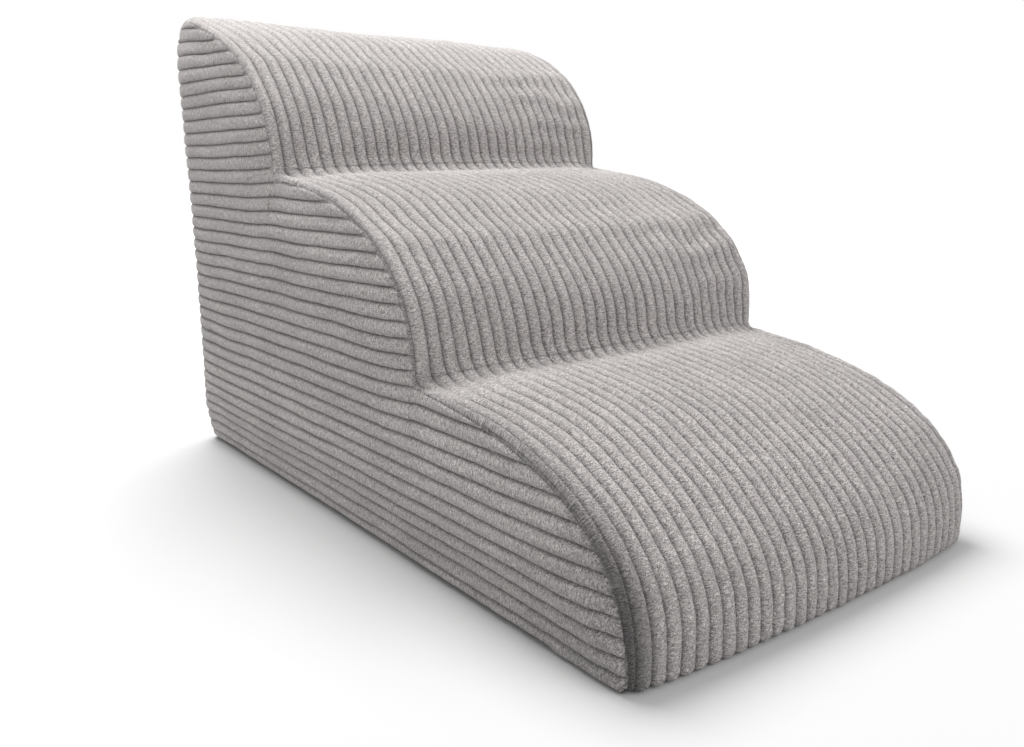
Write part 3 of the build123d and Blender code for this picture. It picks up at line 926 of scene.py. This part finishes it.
def makeTape(name, insets, bends, node):
    # woven ribbon between two lines, rounded at its edges
    inner, outer = (zipperLine(i, b, zipper["front"]) for i, b in zip(insets, bends))
    share = np.r_[0.0, 0.02, 0.12, 0.3, 0.5, 0.7, 0.88, 0.98, 1.0]
    half = zipper["tapeHalf"] * np.array([0.35, 0.8, 1, 1, 1, 1, 1, 0.8, 0.35])
    ringShare = np.r_[share, share[::-1]]
    ringZ = zipper["level"] + np.r_[-half, half[::-1]]
    plan = inner[:, None, :] * (1 - ringShare)[None, :, None] + outer[:, None, :] * ringShare[None, :, None]
    along = distances((inner + outer) / 2)
    wide = np.linalg.norm(inner - outer, axis=1)
    sections = np.dstack([plan, np.repeat(ringZ[None, :], len(plan), 0)])
    points, faces = sweep(sections)
    cloth = packed(np.repeat(along[:, None], len(ringShare), 1), ringShare[None, :] * wide[:, None],
                   np.zeros((len(along), len(ringShare))))
    piece = buildPiece(name, onlyOutward(points), faces, tapeMaterial, node, {"cloth": cloth})


def makeCoil(name, side, node):
    # one wound side of the chain
    inset = zipper["inset"] + side * zipper["coilOffset"]
    line, at = evenly(zipperLine(inset, chainBend(inset), zipper["coilStart"]), zipper["coilPitch"] / 10)
    tangent = np.gradient(line, at, axis=0)
    outward = np.column_stack([-tangent[:, 1], tangent[:, 0]])
    angle = 2 * math.pi * at / zipper["coilPitch"] + (math.pi if side > 0 else 0)
    across, up = np.cos(angle) * zipper["coilWide"], np.sin(angle) * zipper["coilTall"]
    centre = np.column_stack([line + outward * across[:, None], zipper["level"] + up])
    ahead = unit(np.gradient(centre, axis=0))
    away = np.column_stack([outward * np.cos(angle)[:, None], np.sin(angle)])
    away = unit(away - ahead * np.sum(away * ahead, axis=1)[:, None])
    third = np.cross(ahead, away)
    turn = np.radians(np.arange(0, 360, 72))
    ring = np.cos(turn)[None, :, None] * away[:, None, :] + np.sin(turn)[None, :, None] * third[:, None, :]
    points, faces = sweep(centre[:, None, :] + zipper["wire"] * ring)
    buildPiece(name, onlyOutward(points), faces, coilMaterial, node)


# Sewn stitches that dive into the cloth at both ends
stitch = {
    "pitch": 0.0036, "long": 0.0030, "seamThread": 0.00027,
    "tapeThreads": (0.00013, 0.00014), "tapeInsets": (0.0037, 0.0178),  # outer and inner
    "share": np.array([0.0, 0.12, 0.35, 0.65, 0.88, 1.0]),
    "dive": np.array([-0.00025, -0.00004, 0.0, 0.0, -0.00004, -0.00025]),
    "taper": np.array([0.45, 0.85, 1, 1, 0.85, 0.45]),
}


def makeStitches(name, line, away, node, follow, radius):
    points, faces = [], []
    turn = np.radians(np.arange(0, 360, 72))
    along = distances(line)
    start = np.arange(0.001, along[-1] - stitch["long"], stitch["pitch"])[:, None]
    start = start + stitch["share"][None, :] * stitch["long"]

    def pick(values, at):
        return np.stack([np.interp(at, along, values[:, k]) for k in range(3)], -1)

    normal = pick(away, start)
    ahead = unit(pick(line, start + 0.0002) - pick(line, start - 0.0002))
    centre = pick(line, start) + normal * stitch["dive"][None, :, None]
    side = np.cross(ahead, normal)
    ring = (np.cos(turn)[None, None, :, None] * normal[:, :, None, :]
            + np.sin(turn)[None, None, :, None] * side[:, :, None, :])
    for sewn in centre[:, :, None, :] + (radius * stitch["taper"])[None, :, None, None] * ring:
        more, around = sweep(sewn)
        faces += [[v + len(points) * len(more) for v in face] for face in around]
        points.append(more)
    buildPiece(name, follow(np.vstack(points)), faces, threadMaterial, node)


tapeMaterial = makeWoven("zipperTape", (0.09, 0.088, 0.088), (0.22, 0.215, 0.212), 2200, 0.4, 0.00012, Roughness=0.8)
coilMaterial = makeHard("zipperCoil", (0.13, 0.125, 0.125), (0.19, 0.185, 0.18), 500, (0.3, 0.42))
threadMaterial = makeWoven("sewingThread", (0.12, 0.115, 0.11), (0.3, 0.29, 0.28), 1800, 0.5, 0.0001, Roughness=0.7)
makeTape("outerZipperTape", zipper["outerTape"], (stairs["cornerRadius"] - zipper["outerTape"][0],
                                                 chainBend(zipper["outerTape"][1])), "outer_zip_tape")
makeTape("innerZipperTape", zipper["innerTape"], [chainBend(i) for i in zipper["innerTape"]], "inner_zip_tape")
makeCoil("outerZipperCoil", -1, "outer_zip_coil")
makeCoil("innerZipperCoil", 1, "inner_zip_coil")


def makeSewing():
    inset = stairs["seamInset"] + 0.0003
    shown = stairPoints[:, 1] > 0.006
    seam = (stairPoints + stairInward * inset)[shown][::3]
    facing = np.column_stack([np.zeros(len(seam)), -stairInward[shown][::3]])
    for name, side, node in (("leftSeamThread", -1, "left_seam_thread"), ("rightSeamThread", 1, "right_seam_thread")):
        line = np.column_stack([np.full(len(seam), side * (halfWidth - inset)), seam])
        makeStitches(name, line, facing, node, stuffed, stitch["seamThread"])
    x = np.linspace(-halfWidth + 0.012, halfWidth - 0.012, 60)
    rearY, topZ = stairPoints[-1]
    for name, y, z, away, node in (
            ("topSeamThread", rearY - inset + 0.001, topZ - 0.0022, (0.0, 1.0, 0.0), "top_seam_thread"),
            ("frontSeamThread", -halfDepth + base["frontEdge"] - 0.0002, 0.0016, (0.0, 0.0, -1.0),
             "front_seam_thread")):
        line = np.column_stack([x, np.full(60, y), np.full(60, z)])
        makeStitches(name, line, np.tile(away, (60, 1)), node, stuffed, stitch["seamThread"])
    outer, inner = stitch["tapeInsets"]
    for name, inset, bend, z, sign, node, radius in (
            ("outerZipperStitching", outer, stairs["cornerRadius"] - outer, 0.00495, -1.0, "outer_zip_stitching",
             stitch["tapeThreads"][0]),
            ("innerZipperStitching", inner, chainBend(inner), 0.00585, 1.0, "inner_zip_stitching",
             stitch["tapeThreads"][1])):
        plan = zipperLine(inset, bend, zipper["front"] + 0.002)
        line = np.column_stack([plan, np.full(len(plan), z)])
        makeStitches(name, line, np.tile([0.0, 0.0, sign], (len(plan), 1)), node, onlyOutward, radius)


makeSewing()

# Foam block, cut to the steps, a little inside the cover
foam = {"inset": 0.0046, "side": 0.0056, "edge": 0.009, "lift": 0.0062, "toe": 0.014, "columns": 56, "cells": 520}


def makeFoam():
    outline = stairLine(foam["toe"])
    outline = outline[outline[:, 1] > foam["lift"]]
    outline, at = evenly(outline, 0.004)
    slope = unit(np.gradient(outline, at, axis=0))
    inward = inwardFrom(slope)
    rear = np.linspace(outline[-1, 1] - 0.01, 0.012, 60)
    floorY = np.linspace(halfDepth - 0.008, outline[0, 0] + 0.008, 90)
    backSide = np.column_stack([np.full(60, halfDepth), rear])
    under = np.column_stack([floorY, np.full(90, 0.0)])
    profile = np.vstack([outline, backSide, under])
    more = np.vstack([inward, np.tile([-1.0, 0], (60, 1)), np.tile([0, 1.0], (90, 1))])
    push = np.vstack([inward * foam["inset"], np.tile([-foam["inset"], 0], (60, 1)),
                      np.tile([0, foam["lift"]], (90, 1))])
    reach = halfWidth - foam["side"]
    bend = foam["edge"] * np.linspace(0, 1, 8)
    between = np.linspace(-reach + foam["edge"], reach - foam["edge"], foam["columns"])[1:-1]
    x = np.r_[-reach + bend, between, reach - bend[::-1]]
    sections = []
    for place in x:
        gone = np.clip(foam["edge"] - (reach - abs(place)), 0, foam["edge"])
        extra = foam["edge"] - circleAt(foam["edge"], gone)
        ring = profile + push + more * extra
        corner = stairs["cornerRadius"] - foam["inset"]
        into = max(abs(place) - (halfWidth - foam["inset"] - corner), 0)
        rearMost = halfDepth - foam["inset"] - corner + circleAt(corner, min(into, corner))
        ring[:, 0] = np.clip(ring[:, 0], -halfDepth + foam["inset"] + extra, rearMost - extra * 0.5)
        ring[:, 1] = np.maximum(ring[:, 1], foam["lift"] + extra)
        sections.append(np.column_stack([np.full(len(ring), place), ring]))
    points, faces = sweep(np.array(sections))
    material, tree, shader = newMaterial("cutFoam", **{"Roughness": 0.92, "Specular IOR Level": 0.2})
    place = addNode(tree, "ShaderNodeTexCoord", (-900, 0)).outputs["Object"]
    cells = addNode(tree, "ShaderNodeTexVoronoi", (-650, 0), {"Scale": foam["cells"], "Vector": place})
    # painted shade in the pores, darker where the cells dip
    pores = mathNode(tree, "MULTIPLY", cells.outputs["Distance"], 1.4)
    finishShader(tree, shader, blendColours(tree, pores, (0.62, 0.58, 0.47), (0.84, 0.81, 0.7)),
                 cells.outputs["Distance"], 0.0006)
    piece = buildPiece("foamBlock", points, faces, material, "foam_core")


makeFoam()

# Blank care label on the base panel, inside
label = {"long": 0.060, "wide": 0.032, "inset": 0.022, "level": 0.0025}


def makeLabel():
    u, v = np.meshgrid(np.linspace(-0.5, 0.5, 61), np.linspace(-0.5, 0.5, 33), indexing="ij")
    x = halfWidth - label["inset"] - label["long"] + u * label["long"]
    y = halfDepth - label["inset"] - label["wide"] + v * label["wide"]
    folded = 0.00006 * smooth((np.abs(u) - 0.44) / 0.02)
    z = label["level"] + 0.00006 * (1 + patches(u * 4 + 9, v * 3 + 5, 95)) + folded
    points = packed(x, y, z)
    material = makeWoven("labelSatin", (0.72, 0.72, 0.7), (0.88, 0.88, 0.86), 3200, 0.1, 0.00004, Roughness=0.35)
    piece = buildPiece("careLabelCloth", points, gridFaces(61, 33).tolist(), material, "care_label",
                       {"cloth": points * (1, 1, 0)})


makeLabel()


def finishHardware():
    # the zipper's stops, slider and tab keep their cut shape
    metal = makeHard("bronzeLacquer", (0.1, 0.082, 0.07), (0.2, 0.17, 0.15), 260, (0.22, 0.48), Metallic=0.85)
    stop = makeHard("mouldedStop", (0.1, 0.097, 0.095), (0.15, 0.145, 0.142), 400, (0.35, 0.5))
    for node, material in (("slider_body", metal), ("pull_tab", metal), ("top_stops", stop), ("bottom_stop", stop)):
        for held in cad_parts[node].material_slots:
            held.material = material


finishHardware()

# Studio
studio = {
    "floorSize": 14.0, "floorColour": (0.55, 0.55, 0.55, 1), "floorGlow": (0.4, 2.2),
    "ambient": (0.8, 0.62),  # from the left and from the right
    "keyPlace": (0.0, 0.7, 1.65), "keySize": 1.2, "keyPower": 45,
    "fillPlace": (0.4, -1.5, 1.0), "fillSize": 1.4, "fillPower": 9,
}
cameraSetup = {
    "place": (-0.493, -0.5988, 0.279),
    "yaw": 35.2, "pitch": -15.29, "roll": -0.59,
    "focal": 916.0, "imageWidth": 1024,
    "shiftX": 0.0554, "shiftY": 0.0332,
}


def makeCamera():
    data = bpy.data.cameras.new("camera")
    data.sensor_width = 36.0
    data.lens = cameraSetup["focal"] / cameraSetup["imageWidth"] * 36.0
    data.shift_x = cameraSetup["shiftX"]
    data.shift_y = cameraSetup["shiftY"]
    data.clip_start = 0.01
    data.clip_end = 50
    camera = bpy.data.objects.new("camera", data)
    scene.collection.objects.link(camera)
    yaw, pitch, roll = (math.radians(cameraSetup[k]) for k in ("yaw", "pitch", "roll"))
    forward = Vector((math.sin(yaw) * math.cos(pitch), math.cos(yaw) * math.cos(pitch), math.sin(pitch)))
    camera.rotation_mode = "QUATERNION"
    camera.rotation_quaternion = forward.to_track_quat("-Z", "Y") @ Quaternion((0, 0, 1), roll)
    camera.location = cameraSetup["place"]
    scene.camera = camera


def addSoftbox(name, place, size, power, aim=(0, 0, 0.15)):
    data = bpy.data.lights.new(name, "AREA")
    data.shape = "DISK"
    data.size = size
    data.energy = power
    light = bpy.data.objects.new(name, data)
    light.location = place
    light.rotation_euler = (Vector(aim) - Vector(place)).to_track_quat("-Z", "Y").to_euler()
    scene.collection.objects.link(light)


def makeFloor():
    # plain pale floor with painted light: it glows, brightening to white away from the stairs
    material, tree, shader = newMaterial("paleFloor", **{"Base Color": studio["floorColour"], "Roughness": 0.85})
    place = addNode(tree, "ShaderNodeTexCoord", (-900, -300)).outputs["Object"]
    length = addNode(tree, "ShaderNodeVectorMath", (-700, -300), {0: place}, operation="LENGTH").outputs["Value"]
    feed(tree, shader, {"Emission Color": (1, 1, 1, 1), "Emission Strength": mapRange(
        tree, length, studio["floorGlow"], interpolation="SMOOTHSTEP")})
    half = studio["floorSize"] / 2
    mesh = bpy.data.meshes.new("floor")
    mesh.from_pydata([(-half, -half, 0), (half, -half, 0), (half, half, 0), (-half, half, 0)], [], [(0, 1, 2, 3)])
    floor = bpy.data.objects.new("floor", mesh)
    mesh.materials.append(material)
    scene.collection.objects.link(floor)


def makeWorld():
    # white to look at, softer light from the left than from the right
    world = bpy.data.worlds.new("studio")
    world.use_nodes = True
    tree = world.node_tree
    place = addNode(tree, "ShaderNodeTexCoord", (-900, 0)).outputs["Generated"]
    split = addNode(tree, "ShaderNodeSeparateXYZ", (-700, 0), {0: place}).outputs["X"]
    spread = mapRange(tree, split, (-1, 1), studio["ambient"])
    ray = addNode(tree, "ShaderNodeLightPath", (-500, 300)).outputs["Is Camera Ray"]
    level = addNode(tree, "ShaderNodeMix", (-250, 0), {"Factor": ray, "A": spread, "B": 1.0})
    feed(tree, tree.nodes["Background"], {"Strength": level.outputs["Result"], "Color": (1, 1, 1, 1)})
    scene.world = world


def makeStudio():
    makeFloor()
    makeWorld()
    addSoftbox("keyLight", studio["keyPlace"], studio["keySize"], studio["keyPower"])
    addSoftbox("frontLight", studio["fillPlace"], studio["fillSize"], studio["fillPower"])
    scene.view_settings.view_transform = "Standard"


makeCamera()
makeStudio()
